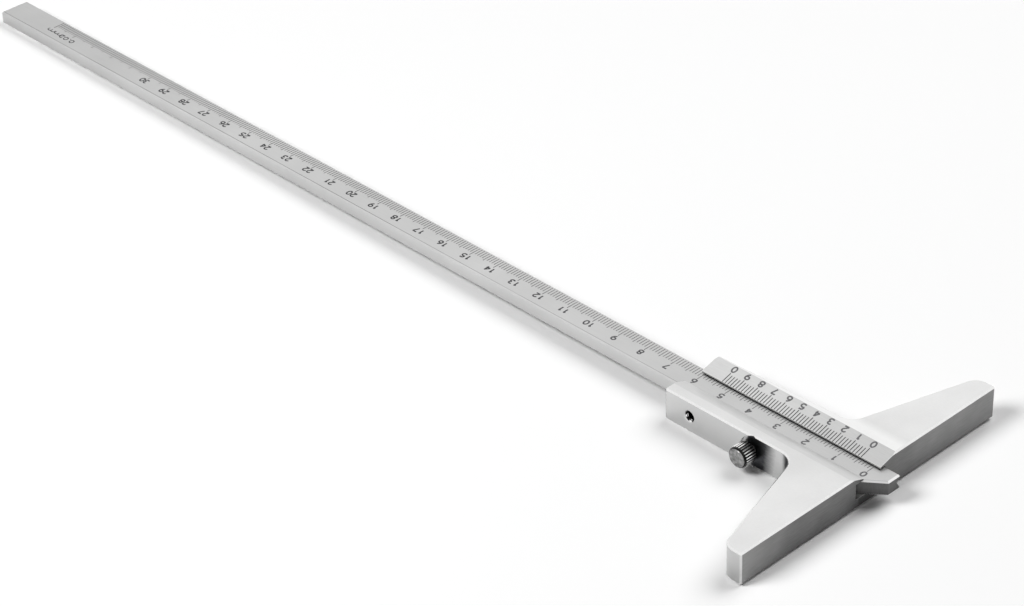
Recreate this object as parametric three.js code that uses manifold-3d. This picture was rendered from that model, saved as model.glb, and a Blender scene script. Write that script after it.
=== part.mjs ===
// T-base vernier depth gauge, 0 to 300 mm, lying flat with its scales up.
// Lengths are in millimetres. The pieces are drawn with X along the beam towards its
// measuring tip and X = 0 on the measuring face, Y across from the beam's centreline
// and Z up from the underside. The finished group then moves along X, so that its
// origin is at the bottom centre of the whole gauge.

import * as THREE from "three";
import { mergeVertices } from "three/addons/utils/BufferGeometryUtils.js";
import Module from "manifold-3d";

const wasm = await Module();
wasm.setup();

// Beam: a flat steel bar with one corner of its tip cut away.
const beamLength = 379;
const beamWidth = 10;
const beamThickness = 4.5;
const beamReach = 5; // how far the tip stands out of the measuring face at rest
const tipCutLength = 7.2;
const tipCutWidth = 5.5;
const beamEdgeBreak = 0.45;
const beamFarTrim = 0.25; // ground off the far side after its edges are broken
const grooveDepth = 1.2; // V groove along the far side
const grooveUpperLip = 0.6; // from the beam's top down to the groove
const grooveVertexDrop = 1.8;
const grooveLowerLip = 0.7; // from the beam's bottom up to the groove

// Base and slide: one forging, a T seen from above.
const baseLength = 100;
const baseThickness = 10;
const slideLength = 63; // from the measuring face to the back end
const armTipDepth = 6.2; // arm from the face to its back edge, at its end
const armRootDepth = 17.4; // and where it meets the slide
const armTipRadius = 4.5;
const nearRootRadius = 6;
const farRootRadius = 5;
const faceCornerRadius = 0.6;
const nearWall = 11.5; // near side, from the centreline
const farWallFront = 11.6; // far side at the arm, from the centreline
const farWallBack = 9.9; // far side at the back end
const nearBackRadius = 0.9;
const farBackRadius = 0.8;
const baseEdgeBreak = 0.4;

// Guide channel through the slide, with its two bevelled rails.
const channelFloor = 2.9;
const floorClearance = 0.1;
const railClearance = 0.3; // gap between the beam's top and the rails
const guideClearance = 0.1; // gap between the beam and the far guide wall
const springRoom = 1.4; // space for the leaf spring beside the beam
const lipThickness = 0.5; // the rails at their thin edges
const nearLipOverlap = 1.5; // how far each thin edge reaches over the beam
const vernierLipOverlap = 1.9;
const nearBevelWidth = 4.7;
const vernierBevelWidth = 6.2;

// Milled recess for the clamp screw's head, in the near side.
const recessDepth = 0.4;
const recessFromScrew = 1.8; // centre of the recess's round end, ahead of the screw

// Screws, both M3.
const threadRadius = 1.5;
const threadClearance = 0.1;
const clampScrewFromBack = 30.7; // from the slide's back end
const headRadius = 3.2;
const headLength = 4.4;
const headFromRecess = 0.9; // gap between the recess and the head
const headFrontBreak = 0.2;
const knurlFromFront = 0.3; // plain rim in front of the knurl
const headBackBreak = 0.3;
const knurlTeeth = 32;
const knurlDepth = 0.28;
const screwTipBreak = 0.4;
const neckRadius = 1.15;
const neckLength = 0.7;
const screwToSpring = 0.1;
const grubScrewFromBack = 9;
const grubSunk = 0.7; // from the near side down to the screw's slotted end
const grubSlotWidth = 0.6;
const grubSlotDepth = 0.9;
const grubSlotAngle = THREE.MathUtils.degToRad(62);
const grubEndBreak = 0.25;
const dogRadius = 0.7;
const dogLength = 0.7;
const grubToSpring = 0.25; // room for the strip to move back as the clamp is let go
const holeMouthBreak = 0.3;

// Leaf spring: a bowed strip, held lengthwise by the grub screw's dog point.
const springThickness = 0.35;
const springHeight = 3.2;
const springBow = 0.7;
const springFromWall = 0.15; // gap at its two ends
const springFrontMargin = 8; // from the measuring face
const springBackMargin = 3; // from the slide's back end
const springHoleClearance = 0.25;

// Values that follow from the sizes above.
const beamBottom = channelFloor + floorClearance;
const beamTop = beamBottom + beamThickness;
const beamSide = beamWidth / 2;
const channelRoof = beamTop + railClearance;
const lipTop = channelRoof + lipThickness;
const springWall = beamSide + springRoom;
const recessFloor = nearWall - recessDepth;
const screwHeight = baseThickness / 2;
const clampX = clampScrewFromBack - slideLength;
const grubX = grubScrewFromBack - slideLength;
const recessX = clampX + recessFromScrew;
const recessRadius = baseThickness / 2;
const springBack = springBackMargin - slideLength;
const springMiddle = (springBack - springFrontMargin) / 2;
const springSpan = -springFrontMargin - springBack;
const springOuterEnd = springWall - springFromWall;

const roundSteps = 48; // sides of a round hole or screw
const arcSteps = 6;
const cutOverrun = 1; // how far a cutter stands out of what it cuts

// Directions of a flat shape's own axes once it is stood up.
const acrossTheBeam = new THREE.Matrix4().makeBasis(
  new THREE.Vector3(0, 1, 0),
  new THREE.Vector3(0, 0, 1),
  new THREE.Vector3(1, 0, 0),
);
const againstNearSide = new THREE.Matrix4().makeBasis(
  new THREE.Vector3(1, 0, 0),
  new THREE.Vector3(0, 0, 1),
  new THREE.Vector3(0, -1, 0),
);

// A closed geometry as a solid that can be cut and joined, and back.
function solidOf(geometry) {
  const bare = geometry.clone();
  bare.deleteAttribute("normal");
  bare.deleteAttribute("uv");
  const welded = mergeVertices(bare);
  return new wasm.Manifold(new wasm.Mesh({
    numProp: 3,
    vertProperties: new Float32Array(welded.attributes.position.array),
    triVerts: new Uint32Array(welded.index.array),
  }));
}

function geometryOf(solid) {
  const mesh = solid.getMesh();
  const geometry = new THREE.BufferGeometry();
  geometry.setAttribute("position", new THREE.BufferAttribute(mesh.vertProperties, mesh.numProp));
  geometry.setIndex(new THREE.BufferAttribute(mesh.triVerts, 1));
  geometry.computeVertexNormals();
  return geometry;
}

function outline(points) {
  return new THREE.Shape(points.map(([x, y]) => new THREE.Vector2(x, y)));
}

// A closed outline through corners given as [x, y, radius].
function roundedOutline(corners) {
  const shape = new THREE.Shape();
  corners.forEach(([x, y, radius], index) => {
    const corner = new THREE.Vector2(x, y);
    const before = corners[(index + corners.length - 1) % corners.length];
    const after = corners[(index + 1) % corners.length];
    const back = new THREE.Vector2(before[0], before[1]).sub(corner).normalize();
    const ahead = new THREE.Vector2(after[0], after[1]).sub(corner).normalize();
    const halfAngle = Math.acos(back.dot(ahead)) / 2;
    const inward = back.clone().add(ahead).normalize();
    const centre = corner.clone().addScaledVector(inward, radius / Math.sin(halfAngle));
    const start = corner.clone().addScaledVector(back, radius / Math.tan(halfAngle)).sub(centre);
    const end = corner.clone().addScaledVector(ahead, radius / Math.tan(halfAngle)).sub(centre);
    const clockwise = back.cross(ahead) > 0;
    shape.absarc(centre.x, centre.y, radius, start.angle(), end.angle(), clockwise);
  });
  return shape;
}

function prism(shape, length) {
  return new THREE.ExtrudeGeometry(shape, { depth: length, bevelEnabled: false, curveSegments: arcSteps });
}

// A prism whose edges round both ends are broken, with its outer size kept.
function brokenPrism(shape, length, edgeBreak) {
  const geometry = new THREE.ExtrudeGeometry(shape, {
    depth: length - 2 * edgeBreak,
    bevelThickness: edgeBreak,
    bevelSize: edgeBreak,
    bevelOffset: -edgeBreak,
    bevelSegments: 1,
    curveSegments: arcSteps,
  });
  return geometry.translate(0, 0, edgeBreak);
}

// A body of revolution about a line across the beam, from [radius, y] points.
function turned(points, x) {
  const profile = points.map(([radius, y]) => new THREE.Vector2(radius, y));
  return new THREE.LatheGeometry(profile, roundSteps).translate(x, 0, screwHeight);
}

function makeBeam() {
  const tip = beamReach;
  const back = beamReach - beamLength;
  const plan = outline([
    [back, -beamSide],
    [tip - tipCutLength, -beamSide],
    [tip, tipCutWidth - beamSide],
    [tip, beamSide + beamFarTrim],
    [back, beamSide + beamFarTrim],
  ]);
  const bar = brokenPrism(plan, beamThickness, beamEdgeBreak).translate(0, 0, beamBottom);
  const farSide = beamSide + beamFarTrim + cutOverrun;
  const groove = outline([
    [beamSide, beamBottom - cutOverrun],
    [farSide, beamBottom - cutOverrun],
    [farSide, beamTop + cutOverrun],
    [beamSide, beamTop + cutOverrun],
    [beamSide, beamTop - grooveUpperLip],
    [beamSide - grooveDepth, beamTop - grooveVertexDrop],
    [beamSide, beamBottom + grooveLowerLip],
  ]);
  const cutter = prism(groove, beamLength + 2 * cutOverrun).applyMatrix4(acrossTheBeam);
  cutter.translate(back - cutOverrun, 0, 0);
  return geometryOf(solidOf(bar).subtract(solidOf(cutter)));
}

// The T outline of base and slide, up to the floor of the recess on the near side.
function makePlan() {
  const halfLength = baseLength / 2;
  return roundedOutline([
    [0, -halfLength, faceCornerRadius],
    [0, halfLength, faceCornerRadius],
    [-armTipDepth, halfLength, armTipRadius],
    [-armRootDepth, farWallFront, farRootRadius],
    [-slideLength, farWallBack, farBackRadius],
    [-slideLength, -recessFloor, nearBackRadius],
    [-armRootDepth, -recessFloor, nearRootRadius],
    [-armTipDepth, -halfLength, armTipRadius],
  ]);
}

// The near side behind the recess stands a little further out.
function makeNearSkin() {
  const plan = roundedOutline([
    [recessX, -beamSide, faceCornerRadius],
    [-slideLength, -beamSide, nearBackRadius],
    [-slideLength, -nearWall, nearBackRadius],
    [recessX, -nearWall, faceCornerRadius],
  ]);
  const skin = solidOf(brokenPrism(plan, baseThickness, baseEdgeBreak));
  const roundEnd = turned([
    [0, -nearWall - cutOverrun],
    [recessRadius, -nearWall - cutOverrun],
    [recessRadius, -recessFloor],
    [0, -recessFloor],
  ], recessX);
  return skin.subtract(solidOf(roundEnd));
}

// The channel from end to end, with the window and the two bevels above it.
function makeChannel() {
  const nearLip = nearLipOverlap - beamSide;
  const vernierLip = beamSide - vernierLipOverlap;
  const springSide = -springWall;
  const guide = beamSide + guideClearance;
  const above = baseThickness + cutOverrun;
  const section = outline([
    [springSide, channelFloor],
    [guide, channelFloor],
    [guide, channelRoof],
    [vernierLip, channelRoof],
    [vernierLip, lipTop],
    [vernierLip + vernierBevelWidth, baseThickness],
    [vernierLip + vernierBevelWidth, above],
    [nearLip - nearBevelWidth, above],
    [nearLip - nearBevelWidth, baseThickness],
    [nearLip, lipTop],
    [nearLip, channelRoof],
    [springSide, channelRoof],
  ]);
  const cutter = prism(section, slideLength + 2 * cutOverrun).applyMatrix4(acrossTheBeam);
  return solidOf(cutter.translate(-slideLength - cutOverrun, 0, 0));
}

// A tapped hole from the near side into the channel, with a broken mouth.
function makeTappedHole(x, mouth) {
  const radius = threadRadius + threadClearance;
  const outside = -mouth - holeMouthBreak;
  const inside = -springWall + springRoom / 2;
  return solidOf(turned([
    [0, outside],
    [radius + 2 * holeMouthBreak, outside],
    [radius, -mouth + holeMouthBreak],
    [radius, inside],
    [0, inside],
  ], x));
}

function makeBaseFrame() {
  const body = solidOf(brokenPrism(makePlan(), baseThickness, baseEdgeBreak))
    .add(makeNearSkin())
    .subtract(makeChannel())
    .subtract(makeTappedHole(clampX, recessFloor))
    .subtract(makeTappedHole(grubX, nearWall));
  return geometryOf(body);
}

// How far the bowed strip has moved in from its ends' line at a place along it.
function springBowAt(x) {
  const share = (x - springMiddle) / (springSpan / 2);
  return springBow * (1 - share * share);
}

function makeLeafSpring() {
  const front = springBack + springSpan;
  const outer = -springOuterEnd;
  const inner = outer + springThickness;
  const strip = new THREE.Shape();
  strip.moveTo(springBack, outer);
  strip.quadraticCurveTo(springMiddle, outer + 2 * springBow, front, outer);
  strip.lineTo(front, inner);
  strip.quadraticCurveTo(springMiddle, inner + 2 * springBow, springBack, inner);
  const lift = screwHeight - springHeight / 2;
  const geometry = new THREE.ExtrudeGeometry(strip, {
    depth: springHeight,
    bevelEnabled: false,
    curveSegments: 2 * arcSteps,
  }).translate(0, 0, lift);
  const hole = turned([
    [0, outer - cutOverrun],
    [dogRadius + springHoleClearance, outer - cutOverrun],
    [dogRadius + springHoleClearance, -beamSide + cutOverrun],
    [0, -beamSide + cutOverrun],
  ], grubX);
  return geometryOf(solidOf(geometry).subtract(solidOf(hole)));
}

// The dog point enters the strip's hole, and the shoulder behind it stops at the strip.
function makeGrubScrew() {
  const slotted = grubSunk - nearWall;
  const shoulder = -springOuterEnd + springBowAt(grubX) - grubToSpring;
  const body = solidOf(turned([
    [0, slotted],
    [threadRadius - grubEndBreak, slotted],
    [threadRadius, slotted + grubEndBreak],
    [threadRadius, shoulder - grubEndBreak],
    [threadRadius - grubEndBreak, shoulder],
    [dogRadius, shoulder],
    [dogRadius, shoulder + dogLength],
    [0, shoulder + dogLength],
  ], grubX));
  const slotLength = 2 * (threadRadius + cutOverrun);
  const slot = new THREE.BoxGeometry(slotLength, 2 * grubSlotDepth, grubSlotWidth)
    .rotateY(grubSlotAngle)
    .translate(grubX, slotted, screwHeight);
  return geometryOf(body.subtract(solidOf(slot)));
}

// The head's straight knurl, as a toothed disc.
function makeKnurl(back, front) {
  const rim = new THREE.Shape();
  for (let tooth = 0; tooth < knurlTeeth; tooth += 1) {
    const crest = (2 * Math.PI * tooth) / knurlTeeth;
    const valley = crest + Math.PI / knurlTeeth;
    const valleyRadius = headRadius - knurlDepth;
    rim[tooth === 0 ? "moveTo" : "lineTo"](headRadius * Math.cos(crest), headRadius * Math.sin(crest));
    rim.lineTo(valleyRadius * Math.cos(valley), valleyRadius * Math.sin(valley));
  }
  return brokenPrism(rim, back - front, headBackBreak)
    .applyMatrix4(againstNearSide)
    .translate(clampX, back, screwHeight);
}

function makeClampScrew() {
  const headBack = -recessFloor - headFromRecess;
  const headFront = headBack - headLength;
  const tip = -springOuterEnd + springBowAt(clampX) - screwToSpring;
  const rimRadius = headRadius - knurlDepth;
  const shank = turned([
    [0, headFront],
    [rimRadius - headFrontBreak, headFront],
    [rimRadius, headFront + headFrontBreak],
    [rimRadius, headBack - headBackBreak],
    [neckRadius, headBack - headBackBreak],
    [neckRadius, headBack + neckLength],
    [threadRadius, headBack + neckLength],
    [threadRadius, tip - screwTipBreak],
    [threadRadius - screwTipBreak, tip],
    [0, tip],
  ], clampX);
  const knurl = makeKnurl(headBack, headFront + knurlFromFront);
  return geometryOf(solidOf(shank).add(solidOf(knurl)));
}

const groundSteel = { color: 0xcfcfcd, roughness: 0.38, metalness: 0.9 };
const beamSteel = { color: 0xc6c6c2, roughness: 0.34, metalness: 0.9 };
const turnedSteel = { color: 0x9b9a9c, roughness: 0.3, metalness: 1 };
const springSteel = { color: 0xb08d57, roughness: 0.35, metalness: 1 };

function piece(name, geometry, finish) {
  const mesh = new THREE.Mesh(geometry, new THREE.MeshStandardMaterial(finish));
  mesh.name = name;
  return mesh;
}

const gauge = new THREE.Group();
gauge.add(
  piece("base_frame", makeBaseFrame(), groundSteel),
  piece("beam", makeBeam(), beamSteel),
  piece("leaf_spring", makeLeafSpring(), springSteel),
  piece("grub_screw", makeGrubScrew(), turnedSteel),
  piece("clamp_screw", makeClampScrew(), turnedSteel),
);
gauge.position.x = beamLength / 2 - beamReach;

export default gauge;
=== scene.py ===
import math

import bpy
from mathutils import Matrix, Vector


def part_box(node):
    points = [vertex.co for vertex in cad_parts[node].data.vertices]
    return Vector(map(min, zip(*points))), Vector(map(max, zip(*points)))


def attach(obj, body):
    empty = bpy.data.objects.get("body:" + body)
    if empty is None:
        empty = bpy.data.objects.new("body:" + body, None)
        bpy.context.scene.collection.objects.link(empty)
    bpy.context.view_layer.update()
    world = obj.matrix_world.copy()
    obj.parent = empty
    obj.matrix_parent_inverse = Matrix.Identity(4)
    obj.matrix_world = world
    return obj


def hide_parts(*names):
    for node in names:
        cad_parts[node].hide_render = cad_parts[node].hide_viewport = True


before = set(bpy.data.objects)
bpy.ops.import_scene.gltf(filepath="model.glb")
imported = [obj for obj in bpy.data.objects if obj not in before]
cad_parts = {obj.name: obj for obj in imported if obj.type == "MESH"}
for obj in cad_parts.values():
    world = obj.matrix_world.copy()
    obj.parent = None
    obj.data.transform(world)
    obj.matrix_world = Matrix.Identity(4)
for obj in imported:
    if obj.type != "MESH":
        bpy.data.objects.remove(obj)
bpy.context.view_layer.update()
mm = 0.001


# Base and slide: one steel forging, a T seen from above. It is milled through for the beam,
# its two rails are bevelled, and it is ground and satin plated all over, except on the
# measuring face, which is left as ground steel.
base_low, base_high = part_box("base_frame")
edge_rounding = 0.08 * mm
flat_within = math.radians(0.4)
corner_over = math.radians(24)


class Wire:
    """A socket of a shader node. Sums and products of wires and numbers add Math nodes."""

    def __init__(self, socket):
        self.socket = socket

    def node(self, kind, settings, sockets, result=0):
        made = self.socket.id_data.nodes.new("ShaderNode" + kind)
        for name, value in settings.items():
            setattr(made, name, value)
        for name, value in sockets.items():
            if isinstance(value, Wire):
                self.socket.id_data.links.new(value.socket, made.inputs[name])
            else:
                made.inputs[name].default_value = value
        return Wire(made.outputs[result])

    def maths(self, operation, first, second):
        return self.node("Math", {"operation": operation}, {0: first, 1: second})

    def __add__(self, other):
        return self.maths("ADD", self, other)

    def __radd__(self, other):
        return self.maths("ADD", other, self)

    def __sub__(self, other):
        return self.maths("SUBTRACT", self, other)

    def __rsub__(self, other):
        return self.maths("SUBTRACT", other, self)

    def __mul__(self, other):
        return self.maths("MULTIPLY", self, other)

    def __rmul__(self, other):
        return self.maths("MULTIPLY", other, self)

    def stretched(self, x, y, z):
        return self.node("VectorMath", {"operation": "MULTIPLY"}, {0: self, 1: (x, y, z)})

    def seen_from(self, x, y, z):
        return self.node("VectorMath", {"operation": "SUBTRACT"}, {0: self, 1: (x, y, z)})

    def length(self):
        return self.node("VectorMath", {"operation": "LENGTH"}, {0: self}, "Value")

    def noise(self, scale, detail=2.0, roughness=0.5):
        sockets = {"Vector": self, "Scale": scale, "Detail": detail, "Roughness": roughness}
        return self.node("TexNoise", {}, sockets)

    def along(self, axis):
        return self.node("SeparateXYZ", {}, {"Vector": self}, axis)

    def size(self):
        return self.maths("ABSOLUTE", self, 0)

    def between(self, low, high):
        """This value's share of the way from low to high, kept from 0 to 1."""
        sockets = {"Value": self, "From Min": low, "From Max": high}
        return self.node("MapRange", {}, sockets)

    def tint(self, dark, light):
        """The colour that lies between two colours where this value says."""
        return self.node("Mix", {"data_type": "RGBA"}, {0: self, 6: (*dark, 1), 7: (*light, 1)}, 2)


def new_material(name):
    material = bpy.data.materials.new(name)
    material.use_nodes = True
    nodes = material.node_tree.nodes
    nodes.clear()
    place = nodes.new("ShaderNodeTexCoord")
    nodes.new("ShaderNodeOutputMaterial").name = "surface"
    return material, Wire(place.outputs["Object"])


def finish(material, place, colour, roughness, height, relief, metallic=1.0):
    """Closes a metal's shader: its colour, its roughness and its relief in millimetres."""
    normal = place.node("Bump", {}, {"Strength": 1.0, "Distance": relief * mm, "Height": height})
    shader = place.node("BsdfPrincipled", {}, {
        "Base Color": colour, "Metallic": metallic, "Roughness": roughness, "Normal": normal,
    })
    tree = material.node_tree
    tree.links.new(shader.socket, tree.nodes["surface"].inputs["Surface"])
    return material


def brushed_steel(name, dark, light, roughness, across, grain=0.35, relief=0.002, cloud=60, painted_light=None):
    """Steel with fine scratches. across is how tightly they lie along x, y and z, per metre,
    and the last argument is a function that says where light and shade are painted into its colour."""
    material, place = new_material(name)
    scratches = place.stretched(*across).noise(1.0, detail=3.0, roughness=0.6)
    clouds = place.noise(cloud, detail=3.0)
    shade = (clouds * (1 - grain) + scratches * grain).between(0.3, 0.7)
    if painted_light:
        shade = shade * 0.5 + painted_light(place) * 0.5
    dull = roughness - 0.06 + scratches * 0.12
    return finish(material, place, shade.tint(dark, light), dull, scratches, relief)


def only(piece):
    """Makes a piece the one selected object."""
    bpy.ops.object.select_all(action="DESELECT")
    piece.select_set(True)
    bpy.context.view_layer.objects.active = piece


def merged_copy(node, name):
    """A CAD node's shape as a new piece, its triangles joined back into flat faces."""
    piece = bpy.data.objects.new(name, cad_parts[node].data.copy())
    bpy.context.scene.collection.objects.link(piece)
    only(piece)
    piece.data.materials.clear()
    bpy.ops.object.mode_set(mode="EDIT")
    bpy.ops.mesh.select_all(action="SELECT")
    bpy.ops.mesh.remove_doubles(threshold=0.0005 * mm)
    bpy.ops.mesh.dissolve_limited(angle_limit=flat_within)
    bpy.ops.object.mode_set(mode="OBJECT")
    return piece


def round_edges(piece):
    """Rounds every corner edge, keeps the flat faces flat under smooth shading, and keeps the
    piece in its height."""
    only(piece)
    low, high = Vector(piece.bound_box[0]), Vector(piece.bound_box[6])
    bevel = piece.modifiers.new("edge rounding", "BEVEL")
    bevel.width = edge_rounding
    bevel.segments = 2
    bevel.limit_method = "ANGLE"
    bevel.angle_limit = corner_over
    bevel.use_clamp_overlap = False
    bpy.ops.object.modifier_apply(modifier=bevel.name)
    bpy.ops.object.shade_smooth_by_angle(angle=math.radians(40))
    flats = piece.modifiers.new("flat faces", "WEIGHTED_NORMAL")
    flats.keep_sharp = True
    bpy.ops.object.modifier_apply(modifier=flats.name)
    for vertex in piece.data.vertices:
        vertex.co.z = min(max(vertex.co.z, low.z), high.z)


def paint_faces(piece, material, test):
    """Gives a material to the faces whose centre and normal pass a test. Later coats go on top."""
    piece.data.materials.append(material)
    slot = len(piece.data.materials) - 1
    for face in piece.data.polygons:
        if test(face.center, face.normal):
            face.material_index = slot


def grey(shade):
    return (shade, shade, shade * 0.995)


root_fillet = (162.0 * mm, 169.0 * mm)
# Rounded edges: steel rubbed bright, and painted lighter still as a highlight.
rubbed_edge_highlight = brushed_steel(
    "rubbed_edge_highlight", grey(0.80), grey(0.88), 0.26, (900, 900, 900), relief=0.001)


def worn_tops(place):
    """Painted light: the vernier's rail is the brightest, the near rail duller than the arms."""
    y = place.along("Y")
    far_rail = y.between(8 * mm, 9 * mm) - y.between(12 * mm, 15 * mm)
    return y.size().between(8 * mm, 20 * mm) * 0.55 + far_rail * 1.4


satin_plate = brushed_steel(
    "satin_plate", grey(0.69), grey(0.90), 0.36, (900, 2600, 2600), grain=0.3, painted_light=worn_tops)


def worn_bevels(place):
    """Painted light: the near bevel is even, and the vernier's is painted lighter towards its back end.
    """
    far = place.along("Y").between(-0.1 * mm, 0.1 * mm)
    return 0.72 + far * (0.33 - place.along("X").between(base_low.x, base_high.x) * 1.1)


bevel_steel = brushed_steel(
    "bevel_steel", grey(0.54), grey(0.76), 0.36, (260, 3600, 3600), grain=0.5, painted_light=worn_bevels)
# Painted shade: the sides are darker towards their foot and lighter towards the top.
side_steel = brushed_steel(
    "side_steel", grey(0.48), grey(0.59), 0.36, (420, 700, 2600), grain=0.35, relief=0.003, cloud=45,
    painted_light=lambda place: place.along("Z").between(0, base_high.z))
# Painted light: the arm ends' corners are darker low down and lighter towards the top.
corner_steel = brushed_steel(
    "corner_steel", grey(0.50), grey(0.76), 0.36, (900, 900, 2600), relief=0.002,
    painted_light=lambda place: place.along("Z").between(3 * mm, 9.5 * mm))
# Painted shade: the near wall is darker towards the clamp screw.
wall_steel = brushed_steel(
    "wall_steel", grey(0.57), grey(0.67), 0.36, (420, 700, 2600), grain=0.35, relief=0.003, cloud=45,
    painted_light=lambda place: 1 - place.along("X").between(base_low.x, 155 * mm))


def worn_face(place):
    """Painted light and shade: the measuring face is painted lighter at its ends, and more so on
    its far half, and black under the beam's channel, where shade falls."""
    y = place.along("Y")
    below = 1 - place.along("Z").between(2.9 * mm, 3.3 * mm)
    under = (1 - y.size().between(4.9 * mm, 5.3 * mm)) * below
    return (0 - y).between(28 * mm, 46 * mm) + y.between(8 * mm, 34 * mm) * 0.9 - under * 3


# Ground steel, painted dark as shade on the measuring face, which turns away from the light.
shaded_ground_face = brushed_steel(
    "shaded_ground_face", grey(0.105), grey(0.31), 0.40, (300, 260, 5200), grain=0.5, relief=0.004, cloud=90,
    painted_light=worn_face)
# Painted shade: the undersides and the inside of the channel are painted darker.
shaded_milled_steel = brushed_steel(
    "shaded_milled_steel", grey(0.28), grey(0.42), 0.32, (260, 4200, 4200), grain=0.5, relief=0.003)


def recess_shade():
    """Painted shadow and reflection: black around the screw's head and in the root, bright between."""
    material, place = new_material("recess_steel")
    x = place.along("X")
    scratches = place.stretched(700, 700, 2400).noise(1.0, detail=3.0)
    slant = place.along("Z") * 0.12
    before_head = (x - slant + scratches * 1.0 * mm).between(156.8 * mm, 160.8 * mm)
    behind_head = 1 - x.between(150.9 * mm, 151.5 * mm)
    near_root = 1 - (x + scratches * 0.4 * mm).between(163.6 * mm, 165.4 * mm)
    above_head = place.along("Z").between(4.5 * mm, 9 * mm) * x.between(151 * mm, 158 * mm) * 0.12
    shade = ((before_head + behind_head * 0.8) * 0.85 + scratches * 0.12 + above_head) * near_root
    return finish(material, place, shade.tint((0.035, 0.037, 0.045), grey(0.70)), 0.3, scratches, 0.002)


recess_steel = recess_shade()

top_face = base_high.z - 0.05 * mm
measuring_face = base_high.x - 0.05 * mm
channel_roof = 7.8 * mm
channel_side = 6.5 * mm
rail_crease = 9.4 * mm
recess_floor = 11.1 * mm
near_wall = 11.5 * mm
hole_axis = (130.5 * mm, 5 * mm)
hole_end = 6 * mm
hole_reach = 2.1 * mm


def in_hole(c):
    """Whether a face lies in the set screw's hole or in its chamfered mouth."""
    beside = math.hypot(c.x - hole_axis[0], c.z - hole_axis[1])
    return -near_wall < c.y < -hole_end and beside < hole_reach


def in_channel(c):
    return abs(c.y) < channel_side and c.z < channel_roof


base_body = merged_copy("base_frame", "base_body")
round_edges(base_body)
# The rounded edges take the first coat, painted lighter as highlights; later coats go on top.
base_body.data.materials.append(rubbed_edge_highlight)
paint_faces(base_body, satin_plate, lambda c, n: n.z > 0.99 and c.z > top_face)
paint_faces(base_body, side_steel, lambda c, n: abs(n.z) < 0.05)
paint_faces(base_body, corner_steel, lambda c, n: abs(n.z) < 0.05 and n.x > 0.2 and abs(n.y) > 0.2)
paint_faces(base_body, wall_steel, lambda c, n: n.y < -0.99 and abs(c.y + near_wall) < 0.05 * mm)
paint_faces(base_body, shaded_ground_face, lambda c, n: c.x > measuring_face and (
    n.x > 0.99 or n.x > 0.1 and in_channel(c)))
paint_faces(base_body, bevel_steel, lambda c, n: 0.9 < n.z < 0.99 and abs(c.y) < rail_crease)
paint_faces(base_body, shaded_milled_steel, lambda c, n: n.z < -0.99 or in_channel(c) and abs(n.x) < 0.5)
# Painted shade in the recess around the clamp screw and in the root fillet.
paint_faces(base_body, recess_steel, lambda c, n: abs(n.z) < 0.05 and n.y < -0.1 and (
    abs(c.y + recess_floor) < 0.05 * mm or root_fillet[0] < c.x < root_fillet[1]))
# Painted shade: the inside of the hole is near black, and its mouth takes the wall's steel.
hole_steel = brushed_steel("hole_steel", grey(0.02), grey(0.10), 0.3, (3000, 3000, 3000))
paint_faces(base_body, hole_steel, lambda c, n: n.y > -0.3 and in_hole(c))
paint_faces(base_body, wall_steel, lambda c, n: n.y < -0.3 and in_hole(c))
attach(base_body, "base")
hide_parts("base_frame")


# Leaf spring: a bowed strip of hard bronze in the space between the beam and the near wall
# of the channel. It is blanked from rolled strip, and a hole holds it on the set screw's dog.
spring_low, spring_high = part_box("leaf_spring")
strip_thickness = 0.35 * mm
strip_bow = 0.7 * mm
along_y = (math.radians(-90), 0, 0)
strip_height = spring_high.z - spring_low.z
strip_length = spring_high.x - spring_low.x
strip_hole_radius = 0.95 * mm


def put(piece, location, rotation=(0, 0, 0)):
    """Turns and moves a piece, and leaves its object at the origin."""
    piece.rotation_euler = rotation
    piece.location = location
    only(piece)
    bpy.ops.object.transform_apply(location=True, rotation=True, scale=True)


def combine(piece, other, how):
    """Cuts a piece by another, or joins the two into one solid."""
    only(piece)
    join = piece.modifiers.new("join", "BOOLEAN")
    join.operation = how
    join.solver = "EXACT"
    join.object = other
    bpy.ops.object.modifier_apply(modifier=join.name)
    bpy.data.objects.remove(other)
    return piece


def cylinder(name, radius, start, length, sides=48):
    bpy.ops.object.select_all(action="DESELECT")
    bpy.ops.mesh.primitive_cylinder_add(
        vertices=sides, radius=radius, depth=length, location=(0, 0, start + length / 2))
    piece = bpy.context.object
    piece.name = name
    bpy.ops.object.transform_apply(location=True)
    return piece


bpy.ops.object.select_all(action="DESELECT")
bpy.ops.mesh.primitive_cube_add(size=1, scale=(strip_length, strip_thickness, strip_height))
strip = bpy.context.object
strip.name = "spring_strip"
bpy.ops.object.transform_apply(scale=True)
bpy.ops.object.mode_set(mode="EDIT")
bpy.ops.mesh.select_all(action="SELECT")
bpy.ops.mesh.bisect(plane_co=(0, 0, 0), plane_no=(1, 0, 0))
bpy.ops.mesh.select_all(action="SELECT")
bpy.ops.mesh.subdivide(number_cuts=15)
bpy.ops.object.mode_set(mode="OBJECT")
bend = strip.modifiers.new("bow", "SIMPLE_DEFORM")
bend.deform_method = "BEND"
bend.deform_axis = "Z"
bend.angle = 8 * strip_bow / strip_length
bpy.ops.object.modifier_apply(modifier=bend.name)
put(strip, (
    (spring_low.x + spring_high.x) / 2,
    spring_high.y - strip_thickness / 2,
    (spring_low.z + spring_high.z) / 2,
))
hole_cutter = cylinder("hole_cutter", strip_hole_radius, -3 * mm, 6 * mm)
strip_hole = (hole_axis[0], (spring_low.y + spring_high.y) / 2, hole_axis[1])
put(hole_cutter, strip_hole, along_y)
combine(strip, hole_cutter, "DIFFERENCE")
rolled_bronze = brushed_steel(
    "rolled_bronze", (0.55, 0.40, 0.22), (0.72, 0.55, 0.32), 0.34, (300, 3000, 5000))
strip.data.materials.append(rolled_bronze)
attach(strip, "leaf_spring")
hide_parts("leaf_spring")


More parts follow.
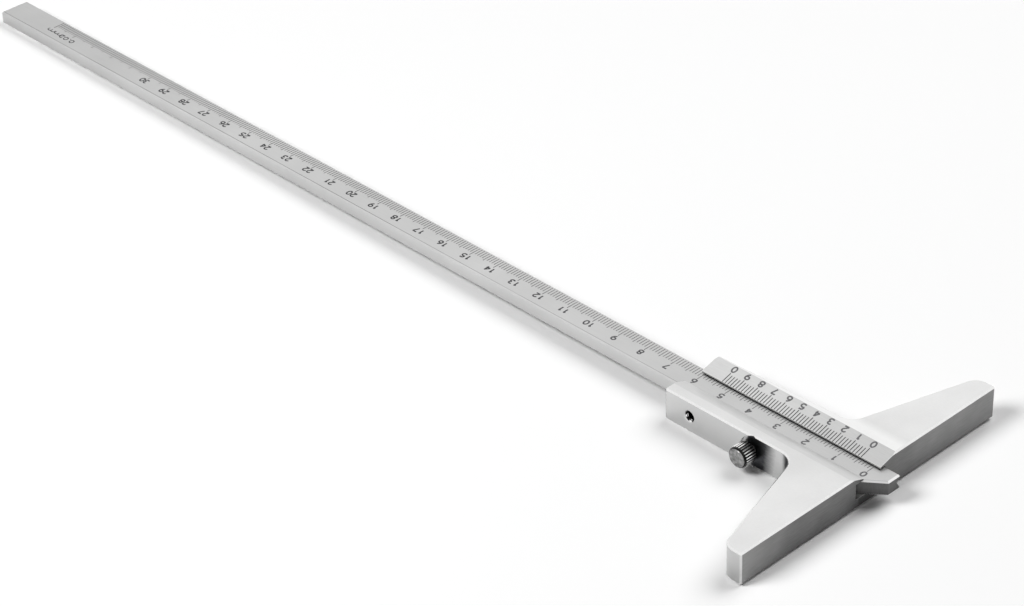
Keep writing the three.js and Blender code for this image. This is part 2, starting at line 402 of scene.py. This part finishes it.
# Beam: a flat bar of hardened steel, ground lengthwise on every side, with a V groove along
# its far side. One corner of its tip is cut away, so that it reaches into narrow corners.
beam_low, beam_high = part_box("beam")
# Painted shade: the beam's top is darker towards its far end.
beam_steel = brushed_steel(
    "ground_beam", grey(0.47), grey(0.64), 0.36, (220, 4200, 4200), relief=0.003, cloud=40,
    painted_light=lambda place: place.along("X").between(beam_low.x, -60 * mm))
# A lighter copy for the near side, as painted light, and darker towards the far end.
beam_side_steel = brushed_steel(
    "ground_beam_side", grey(0.51), grey(0.67), 0.36, (220, 4200, 4200), relief=0.003, cloud=40,
    painted_light=lambda place: place.along("X").between(beam_low.x, -120 * mm))
# Painted shade: the tip's end faces are dark, and darker towards the bottom.
beam_end_steel = brushed_steel(
    "beam_end", grey(0.05), grey(0.12), 0.34, (3800, 3800, 600), grain=0.5, relief=0.003,
    painted_light=lambda place: place.along("Z").between(beam_low.z, beam_low.z + 2.5 * mm))
# Painted shade: a dark line along the near top edge, fading out towards the slide.
beam_edge_line = brushed_steel(
    "beam_edge_line", grey(0.10), grey(0.55), 0.4, (220, 4200, 4200),
    painted_light=lambda place: place.along("X").between(-10 * mm, 90 * mm))
tip_break = 0.25 * mm
tip_top = Vector((beam_high.x - 0.01 * mm, 0, beam_high.z - 0.01 * mm))
beam_bar = merged_copy("beam", "beam_bar")
bpy.ops.object.mode_set(mode="EDIT")
bpy.ops.mesh.select_mode(type="EDGE")
bpy.ops.mesh.select_all(action="DESELECT")
bpy.ops.object.mode_set(mode="OBJECT")
for edge in beam_bar.data.edges:
    ends = [beam_bar.data.vertices[v].co for v in edge.vertices]
    edge.select = all(end.x > tip_top.x and end.z > tip_top.z for end in ends)
bpy.ops.object.mode_set(mode="EDIT")
bpy.ops.mesh.bevel(offset=tip_break, segments=1, affect="EDGES")
bpy.ops.object.mode_set(mode="OBJECT")
round_edges(beam_bar)
beam_bar.data.materials.append(beam_steel)
paint_faces(beam_bar, shaded_milled_steel, lambda c, n: n.z < -0.9)
paint_faces(beam_bar, beam_side_steel, lambda c, n: n.y < -0.5)
# Painted shade on the near top edge, and painted highlights on the lower near edge and the tip's chamfer.
paint_faces(beam_bar, beam_edge_line, lambda c, n: n.y < -0.1 and 0.75 < n.z < 0.995)
paint_faces(beam_bar, rubbed_edge_highlight, lambda c, n: n.y < -0.1 and -0.995 < n.z < -0.1)
paint_faces(beam_bar, beam_end_steel, lambda c, n: n.x > 0.3 and abs(n.z) < 0.3)
paint_faces(beam_bar, rubbed_edge_highlight, lambda c, n: n.x > 0.2 and 0.3 < n.z < 0.98 and abs(n.y) < 0.3)
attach(beam_bar, "beam")
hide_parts("beam")


# The beam's scale: millimetre lines on its far top edge, longer at every 5 and 10 mm, and
# a number at each centimetre. They are engraved and filled with black paint.
beam_line_width = 0.145 * mm
line_depth = 0.04 * mm
zero_from_tip = 7.0 * mm
last_mark = 350
line_start = beam_high.y - 0.55 * mm
beam_line_lengths = [3.05 * mm, 3.65 * mm, 4.25 * mm]


def black_fill(name, rubbed):
    """Black paint in the engraving. rubbed is a function that says where it has gone grey."""
    material, place = new_material(name)
    speckle = place.noise(3000, detail=2.0)
    shade = speckle.between(0.3, 0.7) * 0.2 + rubbed(place) * 0.8
    colour = shade.tint((0.018, 0.018, 0.020), (0.15, 0.15, 0.155))
    return finish(material, place, colour, 0.5 + speckle * 0.2, speckle, 0.002, metallic=0.0)


def row_of_lines(name, width, start, length, first, pitch, count):
    """A row of engraved lines running along -X, each with rounded corners."""
    bpy.ops.object.select_all(action="DESELECT")
    bpy.ops.mesh.primitive_cube_add(
        size=1, scale=(width, length, line_depth), location=(first, start - length / 2, 0))
    row = bpy.context.object
    row.name = name
    bpy.ops.object.transform_apply(location=True, scale=True)
    bpy.ops.object.mode_set(mode="EDIT")
    bpy.ops.mesh.select_all(action="SELECT")
    bpy.ops.object.mode_set(mode="OBJECT")
    for edge in row.data.edges:
        one, two = (row.data.vertices[v].co for v in edge.vertices)
        edge.select = abs(one.z - two.z) > line_depth / 2
    bpy.ops.object.mode_set(mode="EDIT")
    bpy.ops.mesh.bevel(offset=width * 0.4, segments=2, affect="EDGES")
    bpy.ops.object.mode_set(mode="OBJECT")
    array = row.modifiers.new("row", "ARRAY")
    array.use_relative_offset = False
    array.use_constant_offset = True
    array.constant_offset_displace = (-pitch, 0, 0)
    array.count = count
    bpy.ops.object.modifier_apply(modifier=array.name)
    return row


def join_pieces(pieces, name):
    only(pieces[0])
    for piece in pieces:
        piece.select_set(True)
    bpy.ops.object.join()
    pieces[0].name = name
    return pieces[0]


def scale_lines(name, width, start, lengths, zero, pitch, last, long_every, mid_every):
    """Lines from 0 to last. lengths are for the short, the mid and the long marks."""
    count = last // long_every
    rows = [row_of_lines("long", width, start, lengths[2], zero, long_every * pitch, count + 1)]
    if mid_every != long_every:
        first = zero - mid_every * pitch
        rows.append(row_of_lines("mid", width, start, lengths[1], first, long_every * pitch, count))
    count = last // mid_every
    for mark in range(1, mid_every):
        first = zero - mark * pitch
        rows.append(row_of_lines("short", width, start, lengths[0], first, mid_every * pitch, count))
    return join_pieces(rows, name)


beam_paint = black_fill("beam_paint", lambda place: place.along("X").between(40 * mm, 150 * mm))
zero_x = beam_high.x - zero_from_tip
beam_lines = scale_lines(
    "beam_lines", beam_line_width, line_start, beam_line_lengths, zero_x, 1 * mm, last_mark, 10, 5)
put(beam_lines, (0, 0, beam_high.z))
beam_lines.data.materials.append(beam_paint)
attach(beam_lines, "beam")

# Numbers are drawn as single strokes, as a pantograph engraves them, on a cell one high. A
# stroke ends at each sharp corner and the next one starts there, which keeps both full width.
digit_width = 0.62
digit_stretch = 1.16


def arc(x, y, rx, ry, start, end, steps=12):
    turn = math.radians(end - start) / steps
    angles = [math.radians(start) + turn * step for step in range(steps + 1)]
    return [(x + rx * math.cos(a), y + ry * math.sin(a)) for a in angles]


six = arc(0.31, 0.29, 0.29, 0.29, 150, 510, 20), arc(0.62, 0.30, 0.60, 0.72, 178, 108, 10)
strokes = {
    "0": [arc(0.31, 0.5, 0.29, 0.5, 90, 450, 24)],
    "1": [[(0.12, 0.76), (0.34, 1.0)], [(0.34, 1.0), (0.34, 0.0)]],
    "2": [arc(0.31, 0.72, 0.28, 0.28, 170, -40) + [(0.02, 0.0)], [(0.02, 0.0), (0.62, 0.0)]],
    "3": [arc(0.30, 0.76, 0.25, 0.24, 150, -90) + arc(0.30, 0.26, 0.30, 0.26, 90, -150)],
    "4": [[(0.62, 0.28), (0.0, 0.28)], [(0.0, 0.28), (0.46, 1.0)], [(0.46, 1.0), (0.46, 0.0)]],
    "5": [
        [(0.58, 1.0), (0.12, 1.0)], [(0.12, 1.0), (0.06, 0.56)],
        [(0.06, 0.56)] + arc(0.29, 0.31, 0.31, 0.31, 130, -145),
    ],
    "6": list(six),
    "7": [[(0.02, 1.0), (0.62, 1.0)], [(0.62, 1.0), (0.22, 0.0)]],
    "8": [arc(0.31, 0.76, 0.24, 0.24, 90, 450, 20), arc(0.31, 0.27, 0.30, 0.27, 90, 450, 20)],
    "9": [[(digit_width - x, 1 - y) for x, y in stroke] for stroke in six],
    ".": [arc(0.08, 0.04, 0.03, 0.03, 0, 360, 6)],
    "m": [
        [(0.03, 0.0), (0.03, 0.68)],
        arc(0.34, 0.46, 0.31, 0.22, 180, 0, 8) + [(0.65, 0.0)],
        arc(0.96, 0.46, 0.31, 0.22, 180, 0, 8) + [(1.27, 0.0)],
    ],
}
advance = {".": 0.40, "m": 1.4}


def numbers(name, labels, height, stroke, stretch=digit_stretch):
    """Engraved text. Each label is (words, x, y) with the middle of the text at x, y."""
    drawing = bpy.data.curves.new(name, "CURVE")
    drawing.dimensions = "3D"
    drawing.bevel_depth = stroke / 2
    drawing.bevel_resolution = 1
    drawing.use_fill_caps = True
    for words, x, y in labels:
        wide = height * stretch
        widths = [advance.get(letter, digit_width + 0.20) * wide for letter in words]
        pen = -(sum(widths) - 0.20 * wide) / 2
        for letter, width in zip(words, widths):
            for line in strokes[letter]:
                closed = math.dist(line[0], line[-1]) < 0.02
                points = line[:-1] if closed else line
                spline = drawing.splines.new("POLY")
                spline.points.add(len(points) - 1)
                spline.use_cyclic_u = closed
                for point, (across, up) in zip(spline.points, points):
                    # the words read along -X, with their tops towards -Y
                    point.co = (x - pen - across * wide, y + height / 2 - up * height, 0, 1)
            pen += width
    drawn = bpy.data.objects.new(name, drawing)
    bpy.context.scene.collection.objects.link(drawn)
    only(drawn)
    bpy.ops.object.convert(target="MESH")
    bpy.ops.object.mode_set(mode="EDIT")
    bpy.ops.mesh.select_all(action="SELECT")
    bpy.ops.transform.resize(value=(1, 1, line_depth / stroke), center_override=(0, 0, 0))
    bpy.ops.object.mode_set(mode="OBJECT")
    return bpy.context.object


number_height = 1.95 * mm
number_stroke = 0.50 * mm
number_middle = -1.25 * mm
labels = [(str(cm), zero_x - 10 * mm * cm, number_middle) for cm in range(31)]
beam_numbers = numbers("beam_numbers", labels, number_height, number_stroke)
put(beam_numbers, (0, 0, beam_high.z))
beam_numbers.data.materials.append(beam_paint)
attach(beam_numbers, "beam")

# The vernier's step stands past the end of the numbers, in smaller and wider letters.
step_height = 1.6 * mm
step_middle = -1.6 * mm
step_labels = [
    ("0.02", zero_x - 340.6 * mm, step_middle),
    ("mm", zero_x - 347.4 * mm, step_middle),
]
step_mark = numbers("step_mark", step_labels, step_height, 0.38 * mm, 1.59)
put(step_mark, (0, 0, beam_high.z))
step_mark.data.materials.append(beam_paint)
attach(step_mark, "beam")


# The vernier is engraved on the far rail's bevel: 50 divisions over 49 mm, so that each
# reads 0.02 mm, with every fifth line longer and numbered 0 to 9 and 0 again.
bevel_edge = Vector((0, 3.1 * mm, 8.3 * mm))
bevel_crease = Vector((0, 9.3 * mm, base_high.z))
bevel_tilt = math.atan2(bevel_crease.z - bevel_edge.z, bevel_crease.y - bevel_edge.y)
vernier_pitch = 0.98 * mm
vernier_zero = base_high.x - 6.56 * mm
vernier_line_width = 0.19 * mm
# they run up the bevel from its edge, away from the beam's lines
vernier_line_lengths = [-3.05 * mm, -3.6 * mm, -3.6 * mm]
vernier_number_middle = 5.1 * mm
vernier_paint = black_fill("vernier_paint", lambda place: place.along("Y").between(6.6 * mm, 7.0 * mm))
vernier_lines = scale_lines(
    "vernier_lines", vernier_line_width, 0, vernier_line_lengths, vernier_zero, vernier_pitch, 50, 5, 5)
put(vernier_lines, bevel_edge, (bevel_tilt, 0, 0))
vernier_lines.data.materials.append(vernier_paint)
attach(vernier_lines, "base")

vernier_labels = [
    (str(mark % 10), vernier_zero - 5 * vernier_pitch * mark, vernier_number_middle)
    for mark in range(11)
]
vernier_numbers = numbers("vernier_numbers", vernier_labels, number_height, number_stroke)
put(vernier_numbers, bevel_edge, (bevel_tilt, 0, 0))
vernier_numbers.data.materials.append(vernier_paint)
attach(vernier_numbers, "base")


# Set screw: a slotted M3 grub screw with a dog point, sunk in its tapped hole. It is cut
# from bar, painted dark as shade with painted glints, and it holds the leaf spring lengthwise.
grub_low, grub_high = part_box("grub_screw")
thread_radius = 1.5 * mm
thread_root = 1.19 * mm
thread_pitch = 0.5 * mm
thread_steps = 32


def threaded_rod(name, start, length, break_width):
    """A rod with a right-hand M3 thread along Z, its ends broken as a die leaves them.
    Known fault: bisect's default threshold, 0.1 mm here, leaves the ends open, so the cut to
    the blank fails and both screws lose their threaded length."""
    turns = math.ceil(length / thread_pitch) + 2
    profile = bpy.data.meshes.new(name)
    flat = thread_pitch / 8
    heights = [0, thread_pitch / 2 - flat / 2, thread_pitch / 2 + flat / 2, thread_pitch]
    radii = [thread_root, thread_radius, thread_radius, thread_root]
    corners = [(r, 0, start - thread_pitch + h) for r, h in zip(radii, heights)]
    profile.from_pydata(corners, [(0, 1), (1, 2), (2, 3)], [])
    rod = bpy.data.objects.new(name, profile)
    bpy.context.scene.collection.objects.link(rod)
    only(rod)
    screw = rod.modifiers.new("thread", "SCREW")
    screw.axis = "Z"
    screw.screw_offset = thread_pitch
    screw.iterations = turns
    screw.steps = screw.render_steps = thread_steps
    screw.use_smooth_shade = False
    bpy.ops.object.modifier_apply(modifier=screw.name)
    bpy.ops.object.mode_set(mode="EDIT")
    for height, side in ((start, False), (start + length, True)):
        bpy.ops.mesh.select_all(action="SELECT")
        bpy.ops.mesh.remove_doubles(threshold=0.002 * mm)
        bpy.ops.mesh.select_all(action="SELECT")
        bpy.ops.mesh.bisect(
            plane_co=(0, 0, height), plane_no=(0, 0, 1),
            use_fill=True, clear_inner=not side, clear_outer=side)
    bpy.ops.mesh.select_all(action="SELECT")
    bpy.ops.mesh.normals_make_consistent(inside=False)
    bpy.ops.object.mode_set(mode="OBJECT")
    blank = cylinder("blank", thread_radius, start, length, sides=64)
    bpy.ops.object.mode_set(mode="EDIT")
    bpy.ops.mesh.select_all(action="DESELECT")
    bpy.ops.mesh.edges_select_sharp(sharpness=math.radians(60))
    bpy.ops.mesh.bevel(offset=break_width, segments=1, affect="EDGES")
    bpy.ops.object.mode_set(mode="OBJECT")
    return combine(rod, blank, "INTERSECT")


def smooth(piece, angle=30):
    only(piece)
    bpy.ops.object.shade_smooth_by_angle(angle=math.radians(angle))


def glints(place):
    """Painted shade all over, but for painted glints on the thread and the screw."""
    spots = 0
    for x, z, radius in glint_spots:
        away = place.seen_from(x, 0, z).stretched(1, 0, 1).length()
        spots = spots + (1 - away.between(radius * 0.6, radius))
    return spots * 2.2 - 0.5


# Where the painted glints sit.
glint_spots = [(129.4 * mm, 4.6 * mm, 0.5 * mm), (130.85 * mm, 3.55 * mm, 0.6 * mm)]
# Painted shade: the clamp screw's front chamfer is painted black.
shaded_rim = brushed_steel(
    "shaded_rim", grey(0.015), grey(0.07), 0.34, (3000, 3000, 3000), relief=0.002)
# Painted shade with painted glints, for the set screw and the hole's thread.
shaded_thread_with_glints = brushed_steel(
    "shaded_thread_with_glints", grey(0.02), grey(0.92), 0.2, (1500, 5000, 1500), relief=0.001, painted_light=glints)
dog_length = 0.7 * mm
dog_radius = 0.7 * mm
slot_width = 0.6 * mm
slot_depth = 0.9 * mm
slot_turn = math.radians(62)
grub_break = 0.25 * mm
grub_length = grub_high.y - grub_low.y
grub = threaded_rod("grub_screw_body", 0, grub_length - dog_length, grub_break)
combine(grub, cylinder("dog", dog_radius, grub_length - 2 * dog_length, 2 * dog_length), "UNION")
bpy.ops.object.select_all(action="DESELECT")
bpy.ops.mesh.primitive_cube_add(
    size=1, scale=(4 * thread_radius, slot_width, 2 * slot_depth), rotation=(0, 0, slot_turn))
slot_cutter = bpy.context.object
bpy.ops.object.transform_apply(scale=True, rotation=True)
combine(grub, slot_cutter, "DIFFERENCE")
screw_axis = Vector(((grub_low.x + grub_high.x) / 2, grub_low.y, (grub_low.z + grub_high.z) / 2))
put(grub, screw_axis, along_y)
smooth(grub)
grub.data.materials.append(shaded_thread_with_glints)
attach(grub, "grub_screw")
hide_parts("grub_screw")

# The tapped hole's own thread shows in its mouth, in front of the screw.
hole_radius = 1.6 * mm
ridge_radius = 1.28 * mm
ridge_turns = 2
ridge = bpy.data.meshes.new("hole_thread")
ridge_corners = [
    (hole_radius, 0, 0),
    (ridge_radius, 0, thread_pitch * 0.4),
    (hole_radius, 0, thread_pitch * 0.8),
]
ridge.from_pydata(ridge_corners, [(0, 1), (1, 2), (2, 0)], [])
hole_thread = bpy.data.objects.new("hole_thread", ridge)
bpy.context.scene.collection.objects.link(hole_thread)
only(hole_thread)
winding = hole_thread.modifiers.new("thread", "SCREW")
winding.axis = "Z"
winding.screw_offset = thread_pitch
winding.iterations = ridge_turns
winding.steps = winding.render_steps = thread_steps
winding.use_merge_vertices = False
bpy.ops.object.modifier_apply(modifier=winding.name)
bpy.ops.object.mode_set(mode="EDIT")
bpy.ops.mesh.select_all(action="SELECT")
bpy.ops.mesh.fill_holes(sides=3)
bpy.ops.mesh.select_all(action="SELECT")
bpy.ops.mesh.normals_make_consistent(inside=False)
bpy.ops.object.mode_set(mode="OBJECT")
thread_mouth = Vector((screw_axis.x, -near_wall + 0.05 * mm, screw_axis.z))
put(hole_thread, thread_mouth, along_y)
smooth(hole_thread)
hole_thread.data.materials.append(shaded_thread_with_glints)
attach(hole_thread, "base")


# Clamp screw: an M3 thumb screw turned from one bar. Its head is pressed with a straight
# knurl between two broken rims, and its front is faced flat.
clamp_low, clamp_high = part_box("clamp_screw")
clamp_length = clamp_high.y - clamp_low.y
teeth = 24
head_radius = (clamp_high.x - clamp_low.x) / 2
knurl_depth = 0.28 * mm
head_length = 4.4 * mm
front_break = 0.2 * mm
knurl_start = 0.3 * mm
back_break = 0.3 * mm
rim_radius = head_radius - knurl_depth
flat_radius = rim_radius - front_break
neck_radius = 1.15 * mm
neck_length = 0.7 * mm
neck_overlap = 0.2 * mm
rod_break = 0.4 * mm


def press_knurl(piece, depth):
    """Draws two of every three lines of the rim in, and leaves narrow crests between."""
    bpy.ops.object.mode_set(mode="EDIT")
    bpy.ops.mesh.select_mode(type="VERT")
    bpy.ops.mesh.select_all(action="DESELECT")
    bpy.ops.object.mode_set(mode="OBJECT")
    for vertex in piece.data.vertices:
        step = round(math.atan2(vertex.co.y, vertex.co.x) / (2 * math.pi / (3 * teeth)))
        vertex.select = step % 3 != 0
    bpy.ops.object.mode_set(mode="EDIT")
    share = 1 - depth / head_radius
    bpy.ops.transform.resize(value=(share, share, 1), center_override=(0, 0, 0))
    bpy.ops.object.mode_set(mode="OBJECT")


def select_cap(piece, height):
    bpy.ops.object.mode_set(mode="EDIT")
    bpy.ops.mesh.select_mode(type="FACE")
    bpy.ops.mesh.select_all(action="DESELECT")
    bpy.ops.object.mode_set(mode="OBJECT")
    for face in piece.data.polygons:
        face.select = len(face.vertices) > 8 and abs(face.center.z - height) < 0.001 * mm


def turn_end(piece, height, next_height, share):
    """Extrudes the end face at a height to another height, and turns it smaller."""
    select_cap(piece, height)
    bpy.ops.object.mode_set(mode="EDIT")
    bpy.ops.mesh.extrude_region_move(TRANSFORM_OT_translate={"value": (0, 0, next_height - height)})
    bpy.ops.transform.resize(value=(share, share, 1), center_override=(0, 0, next_height))
    bpy.ops.object.mode_set(mode="OBJECT")


core = cylinder("clamp_screw_body", rim_radius, front_break, head_length - front_break, sides=96)
turn_end(core, front_break, 0, flat_radius / rim_radius)
turn_end(core, head_length, head_length, neck_radius / rim_radius)
turn_end(core, head_length, head_length + neck_length + neck_overlap, 1)
knurl_front = knurl_start + back_break
knurl_back = head_length - back_break
knurl = cylinder("knurl", head_radius, knurl_front, knurl_back - knurl_front, sides=3 * teeth)
press_knurl(knurl, knurl_depth)
broken = (head_radius - back_break) / head_radius
turn_end(knurl, knurl_front, knurl_start, broken)
turn_end(knurl, knurl_back, head_length, broken)
combine(core, knurl, "UNION")
rod_start = head_length + neck_length
rod = threaded_rod("rod", rod_start, clamp_length - head_length - neck_length, rod_break)
combine(core, rod, "UNION")
clamp_axis = Vector(((clamp_low.x + clamp_high.x) / 2, clamp_low.y, (clamp_low.z + clamp_high.z) / 2))
put(core, clamp_axis, along_y)
smooth(core, 24)


def knurled_steel(name, axis):
    """Painted light and shade: bright on the knurl's crests as highlights, black in its valleys and
    on the rim as shade, and ringed on the front by the last turning cut, with one painted glint."""
    material, place = new_material(name)
    offset = place.seen_from(*axis)
    reach = offset.stretched(1, 0, 1).length()
    crest = reach.between(rim_radius + 0.05 * mm, rim_radius + 0.14 * mm)
    # Painted reflection: the crests are darker near the wall.
    crest = crest * (1 - place.along("Y").between(-13.8 * mm, -13.0 * mm) * 0.8)
    flat = 1 - reach.between(flat_radius - 0.03 * mm, flat_radius)
    rings = place.node("TexNoise", {"noise_dimensions": "1D"}, {"W": reach * 7000, "Detail": 3.0})
    blotches = place.noise(800, detail=4.0).between(0.3, 0.7)
    # A painted glint on the front, near its rim.
    from_glint = offset.seen_from(0.63 * mm, 0, 2.45 * mm).stretched(1, 0, 1).length()
    painted_glint = 1 - from_glint.between(0.15 * mm, 0.4 * mm)
    shade = crest * 0.95 + flat * (0.04 + rings * 0.14 + blotches * 0.36 + painted_glint)
    relief = rings * flat + blotches * 0.3
    return finish(material, place, shade.tint(grey(0.015), grey(0.9)), 0.36 - shade * 0.14, relief, 0.003)


core.data.materials.append(knurled_steel("knurled_steel", clamp_axis))
# The front chamfer is painted black as shade.
paint_faces(core, shaded_rim, lambda c, n: n.y < -0.3 and (
    math.hypot(c.x - clamp_axis.x, c.z - clamp_axis.z) > rim_radius))
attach(core, "clamp_screw")
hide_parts("clamp_screw")


# The table, the light and the camera: a white sweep under two softboxes, one high at the
# back and one at the front on the left, and a long lens from the tip's side. The gauge is
# heavier behind its base, so it leans back until the beam's far end lies on the table.
floor_size = 12.0
lean = math.atan2(beam_low.z - base_low.z, base_low.x - beam_low.x)
bpy.ops.object.select_all(action="DESELECT")
bpy.ops.mesh.primitive_plane_add(size=floor_size, location=(0, 0, 0))
floor = bpy.context.object
floor.name = "floor"
put(floor, (base_low.x, 0, base_low.z), (0, lean, 0))


def seen_directly(tree):
    """1 for what the camera sees, also in polished steel, half for what the steel throws on
    the floor, and 0 for what lights the scene."""
    rays = tree.nodes.new("ShaderNodeLightPath").outputs
    bright = Wire(rays["Is Camera Ray"]) + Wire(rays["Is Glossy Ray"]) + Wire(rays["Is Transmission Ray"])
    return bright * (1 - Wire(rays["Diffuse Depth"]).between(0, 1) * 0.5)


white_table = bpy.data.materials.new("white_table")
white_table.use_nodes = True
white_table.node_tree.nodes.clear()
seen = seen_directly(white_table.node_tree)
matt = seen.node("BsdfDiffuse", {}, {"Color": (0.86, 0.86, 0.86, 1)})
paper_white = seen.node("BsdfDiffuse", {}, {"Color": (1, 1, 1, 1)})
glow = seen.node("Emission", {}, {"Color": (0.012, 0.012, 0.012, 1)})
lifted = seen.node("AddShader", {}, {0: paper_white, 1: glow})
# The sweep stays white past the lamps' reach.
spot = seen.node("NewGeometry", {}, {}, "Position")
far_off = spot.length().between(0.45, 1.0)
white = seen.node("Emission", {}, {"Color": (1, 1, 1, 1)})
sweep = seen.node("MixShader", {}, {0: far_off, 1: lifted, 2: white})
paper = seen.node("MixShader", {}, {0: seen, 1: matt, 2: sweep})
sheet = white_table.node_tree.nodes.new("ShaderNodeOutputMaterial")
white_table.node_tree.links.new(paper.socket, sheet.inputs["Surface"])
floor.data.materials.append(white_table)

world = bpy.data.worlds.new("studio")
bpy.context.scene.world = world
world.use_nodes = True
world.node_tree.nodes.clear()
seen = seen_directly(world.node_tree)
room = seen.node("Background", {}, {"Color": (0.05, 0.05, 0.05, 1)})
backdrop = seen.node("Background", {}, {"Color": (1, 1, 1, 1)})
air = seen.node("MixShader", {}, {0: seen, 1: room, 2: backdrop})
surround = world.node_tree.nodes.new("ShaderNodeOutputWorld")
world.node_tree.links.new(air.socket, surround.inputs["Surface"])


def softbox(name, location, size, power):
    lamp = bpy.data.lights.new(name, "AREA")
    lamp.shape = "DISK"
    lamp.size = size
    lamp.energy = power
    holder = bpy.data.objects.new(name, lamp)
    bpy.context.scene.collection.objects.link(holder)
    holder.location = location
    holder.rotation_euler = (-Vector(location)).to_track_quat("-Z", "Y").to_euler()
    return holder


# The room is white all round in polished steel, so the softboxes themselves stay out of it.
back = softbox("back_softbox", (0.260, 0.905, 1.294), 1.3, 15.6)
left = softbox("left_softbox", (-0.347, -1.057, 1.150), 0.75, 19.2)
back.visible_glossy = left.visible_glossy = False

view_azimuth = math.radians(47.2768)
view_elevation = math.radians(33.6183)
view_roll = math.radians(-1.9835)
camera = bpy.data.objects.new("camera", bpy.data.cameras.new("camera"))
bpy.context.scene.collection.objects.link(camera)
camera.data.sensor_width = 36.0
camera.data.lens = 105.727
camera.data.clip_start = 0.05
camera.data.clip_end = 50.0
turn = (
    Matrix.Rotation(view_azimuth, 4, "Z")
    @ Matrix.Rotation(math.radians(90) - view_elevation, 4, "X")
    @ Matrix.Rotation(view_roll, 4, "Z")
)
camera.matrix_world = Matrix.Translation((0.576868, -0.486524, 0.475636)) @ turn
bpy.context.scene.camera = camera
bpy.context.scene.view_settings.view_transform = "Standard"
